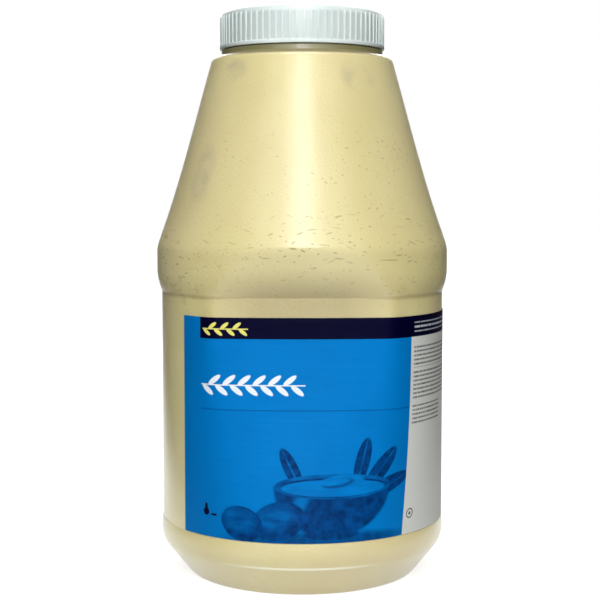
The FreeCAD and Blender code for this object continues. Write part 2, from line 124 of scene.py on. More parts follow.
class Board:
    """A node tree, with one method for every kind of node."""

    def __init__(self, owner: Union[bpy.types.Material, bpy.types.World]) -> None:
        """Empties a node tree.

        Args:
            owner: The material or world that the tree belongs to.
        """
        owner.use_nodes = True
        self.tree = owner.node_tree
        self.tree.nodes.clear()

    def node(self, kind: str, settings: dict, inputs: dict) -> bpy.types.Node:
        """Adds a node of any kind.

        Args:
            kind: Blender's name of the node type.
            settings: Properties of the node, set first.
            inputs: Values, wires or sockets by input name or number.

        Returns:
            The new node.
        """
        made = self.tree.nodes.new(kind)
        for name, setting in settings.items():
            setattr(made, name, setting)
        for name, given in inputs.items():
            self.feed(made.inputs[name], given)
        return made

    def feed(self, socket: bpy.types.NodeSocket, given: object) -> None:
        """Links a wire or socket to an input, or sets its value.

        Args:
            socket: The input.
            given: A wire, a socket or a plain value.
        """
        if isinstance(given, Wire):
            self.tree.links.new(given.socket, socket)
        elif isinstance(given, bpy.types.NodeSocket):
            self.tree.links.new(given, socket)
        else:
            socket.default_value = given

    def math(self, operation: Operation, first: Value, second: Value = 0.0,
             clamp: bool = False) -> Wire:
        """A Math node's result.

        Args:
            operation: What the node works out.
            first: First number.
            second: Second number, where the operation has one.
            clamp: Whether the result is held between 0 and 1.

        Returns:
            The result.
        """
        made = self.node("ShaderNodeMath", {"operation": operation.value, "use_clamp": clamp},
                         {0: first, 1: second})
        return Wire(self, made.outputs[0])

    def blend(self, share: Value, first: object, second: object) -> bpy.types.NodeSocket:
        """Colour that goes from first to second as share goes from 0 to 1."""
        made = self.node("ShaderNodeMix", {"data_type": "RGBA"}, {0: share, 6: first, 7: second})
        return made.outputs[2]

    def place(self) -> bpy.types.NodeSocket:
        """The place on the piece, in metres."""
        return self.node("ShaderNodeTexCoord", {}, {}).outputs["Object"]

    def axes(self, place: bpy.types.NodeSocket) -> list[Wire]:
        """The three numbers of a place."""
        split = self.node("ShaderNodeSeparateXYZ", {}, {0: place})
        return [Wire(self, output) for output in split.outputs]

    def stretched(self, place: bpy.types.NodeSocket, scale: tuple) -> bpy.types.NodeSocket:
        """A place scaled along each axis."""
        return self.node("ShaderNodeMapping", {}, {"Vector": place, "Scale": scale}).outputs[0]

    def noise(self, place: bpy.types.NodeSocket, scale: float, detail: float = 2.0) -> Wire:
        """Soft noise.

        Args:
            place: Where it is read.
            scale: How fine it is.
            detail: Finer layers in it.

        Returns:
            Noise from 0 to 1.
        """
        made = self.node("ShaderNodeTexNoise", {}, {"Vector": place, "Scale": scale,
                                                    "Detail": detail})
        return Wire(self, made.outputs[0])

    def wrapped(self, place: bpy.types.NodeSocket, radius: float) -> bpy.types.NodeSocket:
        """A flat chart of the surface round the jar.

        Args:
            place: Place on the piece.
            radius: Radius at which the way round is measured.

        Returns:
            The way round and the height, in metres.
        """
        right, back, height = self.axes(place)
        turn = self.math(Operation.BEARING, right, 0.0 - back)
        return self.node("ShaderNodeCombineXYZ", {}, {0: turn * radius, 1: height}).outputs[0]

    def flecks(self, chart: bpy.types.NodeSocket, stroke: "Stroke") -> Wire:
        """Scattered short strokes on a flat chart, each with its own size and lean.

        Args:
            chart: Flat chart in metres.
            stroke: What the strokes are like.

        Returns:
            1 inside a stroke and 0 outside, with soft ends.
        """
        made = self.node("ShaderNodeTexVoronoi", {"voronoi_dimensions": "2D"},
                         {"Vector": chart, "Scale": 1 / (stroke.cell * MM)})
        tone = self.node("ShaderNodeSeparateColor", {}, {0: made.outputs["Color"]})
        lean, long, broad = [Wire(self, tone.outputs[number]) for number in range(3)]
        away = self.node("ShaderNodeVectorMath", {"operation": "SUBTRACT"},
                         {0: chart, 1: made.outputs["Position"]})
        right, up, _ = self.axes(away.outputs[0])
        turn = (lean - 0.5) * stroke.tilt
        level = self.math(Operation.COSINE, turn)
        slant = self.math(Operation.SINE, turn)
        along = (right * level + up * slant) / ((long * long + 0.35) * (stroke.length * MM))
        across = (up * level - right * slant) / ((broad * 0.8 + 0.6) * (stroke.width * MM))
        reach = self.math(Operation.SQRT, along * along + across * across)
        draw = self.math(Operation.FRACTION, lean * 7.3 + broad * 3.7)
        return (1 - self.step(reach, 0.8, 0.6)) * (1 - self.step(draw, stroke.kept, 0.05))

    def step(self, value: Wire, edge: Value, soft: float) -> Wire:
        """0 below an edge and 1 above it, over a soft width."""
        return self.math(Operation.ADD, (value - edge) / soft, 0.5, clamp=True)

    def band(self, value: Wire, low: float, high: float, soft: float) -> Wire:
        """1 between two edges, 0 outside."""
        return self.step(value, low, soft) * (1 - self.step(value, high, soft))

    def relief(self, height: Wire, strength: float, distance: float) -> bpy.types.NodeSocket:
        """Bump from a height."""
        return self.node("ShaderNodeBump", {}, {"Height": height, "Strength": strength,
                                                "Distance": distance}).outputs[0]

    def seen(self) -> Wire:
        """Tells what is seen from what only lights the jar.

        Returns:
            1 for what is seen, by itself, in a gloss or through glass, and 0 for the rest.
        """
        path = self.node("ShaderNodeLightPath", {}, {})
        camera, glossy, through = [Wire(self, path.outputs[name]) for name in (
            "Is Camera Ray", "Is Glossy Ray", "Is Transmission Ray")]
        return camera | glossy | through


class MaterialBoard(Board):
    """The board of one material."""

    def __init__(self, name: str) -> None:
        """Starts a material with its shader and output.

        Args:
            name: Name of the material.
        """
        self.material = bpy.data.materials.new(name)
        super().__init__(self.material)
        self.shader = self.node("ShaderNodeBsdfPrincipled", {}, {})
        self.node("ShaderNodeOutputMaterial", {}, {"Surface": self.shader.outputs["BSDF"]})

    def finish(self, inputs: dict) -> bpy.types.Material:
        """Sets the shader's inputs.

        Args:
            inputs: Values, wires or sockets by input name.

        Returns:
            The material.
        """
        for name, given in inputs.items():
            self.feed(self.shader.inputs[name], given)
        return self.material


# ---- finishes --------------------------------------------------------------------------------
@dataclass(frozen=True)
class Stroke:
    """Short strokes of one kind, in millimetres."""

    cell: float
    length: float
    width: float
    tilt: float
    kept: float


@dataclass(frozen=True)
class FilledPlastic:
    """Translucent moulded plastic with the cream of the contents behind it, in millimetres."""

    cream: tuple = paint(229, 219, 164)
    deep_cream: tuple = paint(218, 206, 147)
    rosy_cream: tuple = paint(229, 213, 168)
    grey_air: tuple = paint(196, 185, 152)
    streak_and_shade: tuple = paint(140, 116, 66)
    empty: tuple = paint(140, 134, 94)
    ridge_highlight: tuple = paint(255, 253, 228)
    radius: float = 75.8
    level: float = 275.2
    collar_foot_shade: tuple = (275.2, 276.6)
    groove: tuple = (150.6, 152.6)
    overhang_shadow: tuple = (137, 161)
    overhang_shadow_reach: float = 38
    ridge: tuple = (16.3, 17.6)
    ridge_reach: float = 30
    bumper: tuple = (150, 192)
    cone: tuple = (150, 236)
    bumper_top: tuple = (168, 196)
    short: Stroke = Stroke(4.2, 1.3, 0.32, 1.5, 0.46)
    middling: Stroke = Stroke(7.5, 2.9, 0.38, 1.0, 0.50)
    long: Stroke = Stroke(19.0, 7.0, 0.55, 0.5, 0.40)
    air_patches: tuple = ((-57, 267, 13, 6), (45, 264, 17, 9), (-67, 213, 11, 17),
                          (128, 250, 20, 12), (190, 220, 18, 14))

    def material(self) -> bpy.types.Material:
        """Cream with air streaks on the wall, duller where the jar is empty, with a painted
        highlight on the heel ridge and painted shade in the groove, above the label and under the
        collar.

        Returns:
            The material.
        """
        board = MaterialBoard("filled_plastic")
        place = board.place()
        height = board.axes(place)[2]
        chart = board.wrapped(place, self.radius * MM)
        streaks = self.streaks(board, place, chart)
        grain = board.noise(place, 800.0, 1.0)
        waves = board.noise(place, 45.0, 2.0)
        bumpy = board.node("ShaderNodeBump", {}, {
            "Height": waves - streaks * 0.06, "Strength": 1.0, "Distance": 0.5 * MM,
            "Normal": board.relief(grain, 1.0, 0.24 * MM)})
        marked = board.blend(streaks * 0.72, self.plain_cream(board, place), self.streak_and_shade)
        aired = board.blend(self.air(board, place, chart), marked, self.grey_air)
        # painted highlight: a near-white line along the heel ridge, in front and behind
        with_painted_light = board.blend(self.across_front(board, place, self.ridge, 0.5, self.ridge_reach,
                                              26), aired, self.ridge_highlight)
        # painted shade: a dark line in the groove, and a painted shadow of the bumper's overhang
        # on the cream above the label, in front and behind
        groove = board.band(height, *self.span(self.groove), 1.6 * MM) * 0.4
        overhang_shadow = self.across_front(board, place, self.overhang_shadow, 14, self.overhang_shadow_reach, 34) * 0.46
        with_painted_light = board.blend(groove | overhang_shadow, with_painted_light, self.streak_and_shade)
        colour = board.blend(board.step(height, self.level * MM, 0.8 * MM), with_painted_light, self.empty)
        # painted shade: a dark band round the top of the shoulder, where it meets the collar
        line = board.band(height, *self.span(self.collar_foot_shade), 0.8 * MM) * 0.5
        return board.finish({"Base Color": board.blend(line, colour, self.streak_and_shade),
                             "Roughness": 0.25 + board.noise(place, 30.0) * 0.08,
                             "Normal": bumpy.outputs[0], "Specular IOR Level": 0.5,
                             "Diffuse Roughness": 0.4, "Coat Weight": 0.8,
                             "Coat Roughness": 0.34})

    @staticmethod
    def span(pair: tuple) -> tuple[float, float]:
        """Two heights in metres."""
        return pair[0] * MM, pair[1] * MM

    def plain_cream(self, board: Board, place: bpy.types.NodeSocket) -> bpy.types.NodeSocket:
        """Cream that goes a little deeper and rosier in clouds.

        Args:
            board: The jar's board.
            place: Place on the jar.

        Returns:
            The colour.
        """
        cream = board.blend(board.step(board.noise(place, 14.0, 3.0), 0.5, 0.4),
                            self.cream, self.deep_cream)
        return board.blend(board.step(board.noise(place, 9.0, 1.0), 0.6, 0.3) * 0.6,
                           cream, self.rosy_cream)

    def streaks(self, board: Board, place: bpy.types.NodeSocket,
                chart: bpy.types.NodeSocket) -> Wire:
        """Thin flat bubbles that lie along the wall, most of them round the upper bumper.

        Args:
            board: The jar's board.
            place: Place on the jar.
            chart: Flat chart of the wall.

        Returns:
            1 in a bubble and 0 outside.
        """
        height = board.axes(place)[2]
        cloud = board.step(board.noise(place, 24.0, 2.0), 0.50, 0.22)
        bumper = board.band(height, *self.span(self.bumper), 14 * MM)
        cone = board.band(height, *self.span(self.cone), 34 * MM)
        bumper_top = board.band(height, *self.span(self.bumper_top), 10 * MM)
        short = board.flecks(chart, self.short)
        dense = (short | board.flecks(chart, self.middling)) * bumper * (0.35 + cloud * 0.65)
        sparse = short * cone * cloud * 0.75
        return dense | sparse | board.flecks(chart, self.long) * bumper_top * 0.8

    def air(self, board: Board, place: bpy.types.NodeSocket,
            chart: bpy.types.NodeSocket) -> Wire:
        """Grey cloudy patches where the contents stand off the wall.

        Args:
            board: The jar's board.
            place: Place on the jar.
            chart: Flat chart of the wall.

        Returns:
            How grey the wall is, from 0 to 1.
        """
        along, height, _ = board.axes(chart)
        found = None
        for middle, lift, half, tall in self.air_patches:
            across = (along - middle * MM) / (half * MM)
            up = (height - lift * MM) / (tall * MM)
            reach = board.math(Operation.SQRT, across * across + up * up)
            patch = 1 - board.step(reach, 0.85, 0.5)
            found = patch if found is None else found | patch
        return found * board.step(board.noise(place, 60.0, 4.0), 0.49, 0.20) * 0.62

    def across_front(self, board: Board, place: bpy.types.NodeSocket, heights: tuple,
                     soft: float, reach: float, fade: float) -> Wire:
        """A level band that fades out at both sides, in front and behind.

        Args:
            board: The jar's board.
            place: Place on the jar.
            heights: Lower and upper edge.
            soft: Width of these edges.
            reach: How far to each side the band goes.
            fade: Width of its ends.

        Returns:
            1 inside and 0 outside.
        """
        across, _, height = board.axes(place)
        return board.band(height, *self.span(heights), soft * MM) * board.band(
            across, -reach * MM, reach * MM, fade * MM)


@dataclass(frozen=True)
class Contents:
    """The mayonnaise itself, smooth and slightly glossy."""

    light: tuple = paint(240, 230, 190)
    dark: tuple = paint(228, 214, 165)

    def material(self) -> bpy.types.Material:
        """Cream with soft folds.

        Returns:
            The material.
        """
        board = MaterialBoard("contents")
        place = board.place()
        folds = board.noise(place, 26.0, 3.0)
        return board.finish({
            "Base Color": board.blend(folds, self.light, self.dark),
            "Roughness": 0.35 + folds * 0.2,
            "Normal": board.relief(folds, 0.3, 1.0 * MM)})


@dataclass(frozen=True)
class CapPlastic:
    """Cool white moulded plastic, with painted shade between its ribs."""

    white: tuple = paint(228, 237, 235)
    shade: tuple = paint(212, 224, 221)
    valley_shade: tuple = paint(160, 174, 170)
    skirt: float = 43.3 * MM
    crest: float = 43.95 * MM

    def material(self) -> bpy.types.Material:
        """White with a faint cloud, a fine moulded grain and painted shade between the ribs.

        Returns:
            The material.
        """
        board = MaterialBoard("cap_plastic")
        place = board.place()
        cloud = board.noise(place, 45.0, 2.0)
        grain = board.noise(place, 2400.0, 1.0)
        right, back, height = board.axes(place)
        reach = board.math(Operation.SQRT, right * right + back * back)
        # painted shade: darker between the ribs, from the skirt out to the rib crests, over the
        # ribbed height
        deep = 1 - board.step(reach, (self.skirt + self.crest) / 2, self.crest - self.skirt)
        deep = deep * board.step(reach, self.skirt - 0.4 * MM, 0.3 * MM) * board.band(
            height, 282.2 * MM, 296.5 * MM, 1.0 * MM)
        colour = board.blend(board.step(cloud, 0.5, 0.4), self.white, self.shade)
        return board.finish({
            "Base Color": board.blend(deep * 0.38, colour, self.valley_shade),
            "Roughness": 0.34 + cloud * 0.12,
            "Normal": board.relief(grain, 0.12, 0.1 * MM)})


class LabelSheet:
    """The label unrolled, with marks placed in millimetres from its left end and the ground."""

    edge: float = 0.25

    def __init__(self, board: Board, repeat: float) -> None:
        """Reads the label's own chart.

        Args:
            board: The label's board.
            repeat: Length after which the print starts again.
        """
        self.board = board
        self.place = board.place()
        chart = board.node("ShaderNodeUVMap", {"uv_map": "print"}, {}).outputs[0]
        far, self.height, _ = board.axes(chart)
        self.again = board.step(far, repeat * MM, self.edge * MM)
        self.along = far - self.again * (repeat * MM)

    def beyond(self, left: float) -> Wire:
        """1 to the right of a place."""
        return self.board.step(self.along, left * MM, self.edge * MM)

    def above(self, low: float) -> Wire:
        """1 above a height."""
        return self.board.step(self.height, low * MM, self.edge * MM)

    def columns(self, left: float, right: float) -> Wire:
        """1 between two places along the label."""
        return self.board.band(self.along, left * MM, right * MM, self.edge * MM)

    def rows(self, low: float, high: float) -> Wire:
        """1 between two heights."""
        return self.board.band(self.height, low * MM, high * MM, self.edge * MM)

    def oval(self, spot: tuple, size: tuple, soft: float = 0.06, turn: float = 0.0) -> Wire:
        """An oval patch.

        Args:
            spot: Its middle.
            size: Half its width and half its height.
            soft: Width of its soft edge, as a share of its size.
            turn: How far it leans, in degrees anticlockwise.

        Returns:
            1 inside and 0 outside.
        """
        level, slant = math.cos(math.radians(turn)), math.sin(math.radians(turn))
        right = self.along - spot[0] * MM
        up = self.height - spot[1] * MM
        across = (right * level + up * slant) / (size[0] * MM)
        upright = (up * level - right * slant) / (size[1] * MM)
        reach = self.board.math(Operation.SQRT, across * across + upright * upright)
        return 1 - self.board.step(reach, 1.0, soft)

    def sprig(self, spot: tuple, length: float, leaf: tuple, count: int) -> Wire:
        """A level stem with leaves on both sides.

        Args:
            spot: Left end of the stem.
            length: Length of the stem.
            leaf: Half the length and half the width of a leaf.
            count: Number of leaves.

        Returns:
            1 inside and 0 outside.
        """
        stem = self.columns(spot[0], spot[0] + length) * self.rows(spot[1] - 0.3, spot[1] + 0.3)
        pitch = (length - leaf[0] * 2) / (count - 1)
        for number in range(count):
            side = 1 if number % 2 else -1
            middle = (spot[0] + leaf[0] + pitch * number, spot[1] + side * leaf[0] * 0.62)
            stem = stem | self.oval(middle, leaf, 0.12, side * 38.0)
        return stem

    def small_print(self, pitch: float) -> Wire:
        """Rows of broken dashes, like small print too far off to read.

        Args:
            pitch: Distance between rows.

        Returns:
            1 in a dash and 0 outside.
        """
        row = self.board.math(Operation.FRACTION, self.height / (pitch * MM))
        number = self.board.math(Operation.FLOOR, self.height / (pitch * MM))
        spot = self.board.node("ShaderNodeCombineXYZ", {}, {0: self.along, 1: number * 0.37})
        dashes = self.board.step(self.board.noise(spot.outputs[0], 1500.0, 0.0), 0.42, 0.10)
        return self.board.band(row, 0.28, 0.70, 0.14) * dashes


@dataclass(frozen=True)
class PrintedFilm:
    """The label's print: colours, and places and sizes in millimetres."""

    blue: tuple = paint(0, 125, 204)
    deep_blue: tuple = paint(0, 117, 194)
    navy: tuple = paint(3, 2, 36)
    line_blue: tuple = paint(0, 78, 146)
    shadow_blue: tuple = paint(0, 44, 96)
    picture_blue: tuple = paint(0, 72, 140)
    picture_light: tuple = paint(0, 104, 178)
    white: tuple = paint(224, 226, 220)
    title: tuple = paint(232, 242, 248)
    straw: tuple = paint(232, 226, 120)
    ink: tuple = paint(40, 42, 50)
    header_low: float = 131.2
    strip_width: float = 13.2
    rule: tuple = (95.25, 95.75)
    front_width: float = 124.7
    side_end: float = 200.0
    side_print: tuple = (127, 192)
    leaves: tuple = (((108, 66), (13, 4.2), 52.0), ((114, 58), (12, 4.0), 20.0),
                     ((98, 70), (12, 3.8), 78.0), ((62, 67), (11, 3.6), 118.0))
    eggs: tuple = (((57, 41), (13.5, 9.5), 12.0), ((38, 39), (11.5, 8.5), -16.0))
    bowl: tuple = (84, 58)
    bowl_half: tuple = (30, 25)
    bowl_foot: float = 34.5
    mark: tuple = (129.5, 40.6)

    def material(self) -> bpy.types.Material:
        """Blue front, navy header, white side panel and their simple print.

        Returns:
            The material.
        """
        board = MaterialBoard("printed_film")
        sheet = LabelSheet(board, self.side_end)
        on_side = sheet.beyond(self.front_width) * (1 - sheet.again)
        tone = board.noise(sheet.place, 30.0, 3.0)
        front = board.blend(board.step(tone, 0.5, 0.5), self.blue, self.deep_blue)
        front = self.front_marks(sheet, self.picture(sheet, front))
        colour = board.blend(on_side, front, self.side_marks(sheet))
        creases = board.noise(board.stretched(sheet.place, (1.0, 1.0, 3.0)), 38.0, 3.0)
        fold = board.noise(board.stretched(sheet.place, (0.5, 0.5, 9.0)), 30.0, 1.0)
        return board.finish({
            "Base Color": self.header(sheet, on_side, colour),
            "Roughness": 0.38 + creases * 0.14,
            "Specular IOR Level": 0.04,
            "Normal": board.relief(creases + board.step(fold, 0.62, 0.12) * 0.10, 0.5,
                                   0.8 * MM)})

    def picture(self, sheet: LabelSheet, field: bpy.types.NodeSocket) -> bpy.types.NodeSocket:
        """Leaves, eggs and a bowl of sauce in darker blues, with a coarse printed grain.

        Args:
            sheet: The label's sheet.
            field: Colour under the picture.

        Returns:
            Colour with the picture.
        """
        board = sheet.board
        coarse = board.step(board.noise(sheet.place, 260.0, 4.0), 0.5, 0.35)
        streaky = board.step(board.noise(board.stretched(sheet.place, (1.0, 1.0, 2.6)), 90.0,
                                         4.0), 0.5, 0.3)
        dark = board.blend(coarse, self.picture_blue, self.shadow_blue)
        middle = board.blend(streaky, self.picture_light, self.picture_blue)
        light = board.blend(streaky * 0.6, self.blue, self.picture_light)
        shade = sheet.oval((78, 31.5), (44, 4.5), 0.5)
        field = board.blend(shade * 0.8, field, dark)
        for spot, size, turn in self.leaves:
            field = board.blend(sheet.oval(spot, size, 0.10, turn), field, dark)
            field = board.blend(sheet.oval(spot, (size[0], 0.45), 0.4, turn), field, middle)
        field = self.sauce_bowl(sheet, field, dark, middle, light)
        for spot, size, turn in self.eggs:
            field = board.blend(sheet.oval(spot, size, 0.05, turn), field, dark)
            lit = sheet.oval((spot[0] - 2.0, spot[1] + 1.8), (size[0] * 0.72, size[1] * 0.66),
                             0.7, turn)
            field = board.blend(lit * 0.9, field, middle)
        return field

    def sauce_bowl(self, sheet: LabelSheet, field: bpy.types.NodeSocket,
                   dark: bpy.types.NodeSocket, middle: bpy.types.NodeSocket,
                   light: bpy.types.NodeSocket) -> bpy.types.NodeSocket:
        """The bowl with its foot, glint, rim, sauce and swirl.

        Args:
            sheet: The label's sheet.
            field: Colour under the bowl.
            dark: Darkest blue of the picture.
            middle: Middle blue.
            light: Lightest blue.

        Returns:
            Colour with the bowl.
        """
        board = sheet.board
        across, rim = self.bowl
        body = sheet.oval(self.bowl, self.bowl_half) * (1 - sheet.above(rim))
        body = body * sheet.above(self.bowl_foot)
        foot = sheet.oval((across, self.bowl_foot), (14, 2.6))
        glint = sheet.oval((67, 49), (3.2, 9.0), 0.8, -28.0) * body
        sauce = sheet.oval((across, rim - 0.8), (26.5, 4.2)) | sheet.oval(
            (87, 59.4), (12, 4.4), 0.2, 8.0)
        swirl = sheet.oval((86, 59.6), (8, 2.2), 0.3, 8.0) * (
            1 - sheet.oval((85, 60.2), (7, 1.5), 0.3, 8.0))
        for share, colour in ((body | foot, dark), (glint * 0.8, light),
                              (sheet.oval(self.bowl, (self.bowl_half[0], 6.2)), middle),
                              (sheet.oval((across, rim - 0.4), (27.5, 4.9)), dark),
                              (sauce, light), (swirl * 0.7, dark)):
            field = board.blend(share, field, colour)
        return field

    def front_marks(self, sheet: LabelSheet,
                    field: bpy.types.NodeSocket) -> bpy.types.NodeSocket:
        """The thin rule, a white sprig over it and a small drop.

        Args:
            sheet: The label's sheet.
            field: Colour under the marks.

        Returns:
            Colour with the marks.
        """
        board = sheet.board
        rule = sheet.rows(*self.rule) * sheet.beyond(13.5)
        drop = sheet.oval((17.0, 43.0), (1.9, 1.9), 0.15) | sheet.oval(
            (17.0, 45.4), (0.9, 2.1), 0.15)
        dash = sheet.columns(20.2, 23.6) * sheet.rows(41.4, 42.4)
        field = board.blend(rule * 0.8, field, self.line_blue)
        field = board.blend(sheet.sprig((14, 108), 54.0, (4.0, 1.35), 13), field, self.title)
        return board.blend(drop | dash, field, self.navy)

    def header(self, sheet: LabelSheet, on_side: Wire,
               field: bpy.types.NodeSocket) -> bpy.types.NodeSocket:
        """The navy header with a straw-coloured sprig, and small print over the side panel.

        Args:
            sheet: The label's sheet.
            on_side: 1 on the side panel.
            field: Colour under the header.

        Returns:
            Colour with the header.
        """
        board = sheet.board
        shown = sheet.above(self.header_low) * sheet.beyond(self.strip_width)
        lines = sheet.small_print(2.5) * sheet.rows(133.6, 138.8) * sheet.columns(
            *self.side_print)
        field = board.blend(shown, field, self.navy)
        field = board.blend(sheet.sprig((15, 136.2), 24.0, (2.6, 0.95), 7), field, self.straw)
        return board.blend(lines * on_side * 0.75, field, self.title)

    def side_marks(self, sheet: LabelSheet) -> bpy.types.NodeSocket:
        """Blocks of small print on white, a gap between them and a small ring.

        Args:
            sheet: The label's sheet.

        Returns:
            Colour of the side panel.
        """
        block = sheet.rows(99, 127) * (1 - sheet.rows(113.4, 115.2))
        short = sheet.rows(86, 96) * sheet.columns(self.side_print[0], 158)
        text = sheet.small_print(2.15) * (block * sheet.columns(*self.side_print) | short)
        ring = sheet.oval(self.mark, (2.6, 2.6)) * (1 - sheet.oval(self.mark, (1.9, 1.9)))
        ring = ring | sheet.oval(self.mark, (0.9, 0.9), 0.2)
        return sheet.board.blend((text | ring) * 0.8, self.white, self.ink)


# ---- modelling by hand -----------------------------------------------------------------------
class Bench:
    """Operators for making one piece at a time."""

    @staticmethod
    def clear() -> None:
        """Leaves edit mode and selects nothing."""
        if bpy.context.object and bpy.context.object.mode != "OBJECT":
            bpy.ops.object.mode_set(mode="OBJECT")
        bpy.ops.object.select_all(action="DESELECT")

    @classmethod
    def traced(cls, name: str, outline: Sequence[Vector]) -> bpy.types.Object:
        """A chain of edges, drawn by extruding one corner along an outline.

        Args:
            name: Name of the piece.
            outline: Corners of the chain, in metres.

        Returns:
            The piece, in edit mode with all selected.
        """
        cls.clear()
        bpy.ops.mesh.primitive_plane_add(size=MM, location=(0, 0, 0))
        piece = bpy.context.object
        piece.name = name
        bpy.ops.object.mode_set(mode="EDIT")
        bpy.ops.mesh.select_all(action="SELECT")
        bpy.ops.mesh.merge(type="CENTER")
        bpy.ops.transform.translate(value=outline[0])
        for start, end in zip(outline, outline[1:]):
            bpy.ops.mesh.extrude_region_move(TRANSFORM_OT_translate={"value": end - start})
        bpy.ops.mesh.select_all(action="SELECT")
        return piece

    @classmethod
    def spun(cls, name: str, outline: Sequence[Vector], turns: int, angle: float,
             closed: bool) -> bpy.types.Object:
        """An outline turned about the jar's axis.

        Args:
            name: Name of the piece.
            outline: Corners of the outline, in metres.
            turns: Number of steps.
            angle: How far it turns, in radians.
            closed: Whether the turn comes back to its start.

        Returns:
            The piece, in object mode.
        """
        piece = cls.traced(name, outline)
        bpy.ops.mesh.spin(steps=turns, angle=angle, center=(0, 0, 0), axis=(0, 0, -1))
        bpy.ops.mesh.select_all(action="SELECT")
        if closed:
            bpy.ops.mesh.remove_doubles(threshold=0.01 * MM)
        bpy.ops.mesh.normals_make_consistent(inside=False)
        bpy.ops.object.mode_set(mode="OBJECT")
        return piece

    @staticmethod
    def apply(piece: bpy.types.Object, kind: str, settings: dict) -> None:
        """Adds a modifier and applies it.

        Args:
            piece: The piece.
            kind: Blender's name of the modifier type.
            settings: Properties of the modifier.
        """
        bpy.context.view_layer.objects.active = piece
        modifier = piece.modifiers.new(kind.lower(), kind)
        for name, setting in settings.items():
            setattr(modifier, name, setting)
        bpy.ops.object.modifier_apply(modifier=modifier.name)

    @staticmethod
    def smooth(piece: bpy.types.Object, angle: float) -> None:
        """Shades a piece smooth where its faces meet at less than an angle.

        Args:
            piece: The piece.
            angle: The angle in degrees.
        """
        bpy.context.view_layer.objects.active = piece
        piece.select_set(True)
        bpy.ops.object.shade_smooth_by_angle(angle=math.radians(angle))

    @staticmethod
    def dress(piece: bpy.types.Object, material: bpy.types.Material, slot: str,
              node: str) -> None:
        """Gives a piece all that the frame asks of it.

        Args:
            piece: The piece.
            material: Its material.
            slot: Not used.
            node: CAD node that it stands for.
        """
        piece.data.materials.clear()
        piece.data.materials.append(material)
        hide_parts(node)
        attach(piece, BODY)
        log.info("%s: %d faces", piece.name, len(piece.data.polygons))


def bend(start: Vector, end: Vector, bulge: float, steps: int) -> list[Vector]:
    """Points after start on a shallow arc that stands out to the right of the line.

    Args:
        start: Start of the arc.
        end: End of the arc.
        bulge: How far its middle stands out.
        steps: Number of points.

    Returns:
        The points, with the end and without the start.
    """
    along = (end - start).normalized()
    out = Vector((along.z, 0, -along.x))
    return [start.lerp(end, step / steps)
            + out * (bulge * 4 * (step / steps) * (1 - step / steps))
            for step in range(1, steps + 1)]


def rise(low: float, high: float, step: float) -> list[float]:
    """Heights after low up to high, no further apart than step."""
    count = max(1, math.ceil((high - low) / step))
    return [low + (high - low) * number / count for number in range(1, count + 1)]


